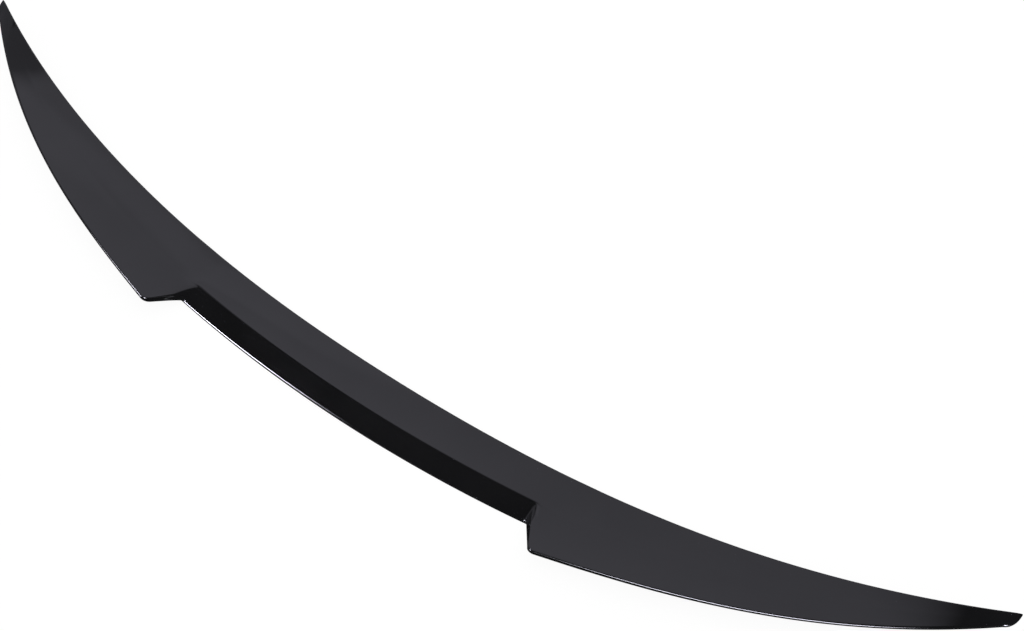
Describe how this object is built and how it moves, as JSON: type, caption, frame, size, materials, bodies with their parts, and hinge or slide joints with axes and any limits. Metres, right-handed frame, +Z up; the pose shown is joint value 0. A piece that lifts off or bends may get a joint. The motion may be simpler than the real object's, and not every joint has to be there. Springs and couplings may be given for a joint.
{
  "type": "car rear spoiler",
  "caption": "Low gloss black boot-lid lip spoiler with swept tips, two kicked-up wings and a stepped-down centre section.",
  "frame": {"origin": "middle of the part's bounding box in plan, at the height of the table that it rests on", "axes": "+X across the car, +Y towards the leading edge and the tips, -Y towards the trailing side, +Z up"},
  "size_m": [1.26, 0.2038, 0.0267],
  "materials": {
    "gloss_black": "high-gloss piano black over moulded ABS, left as moulded underneath"
  },
  "bodies": {
    "root": {"spoiler": "gloss_black"}
  },
  "joints": []
}
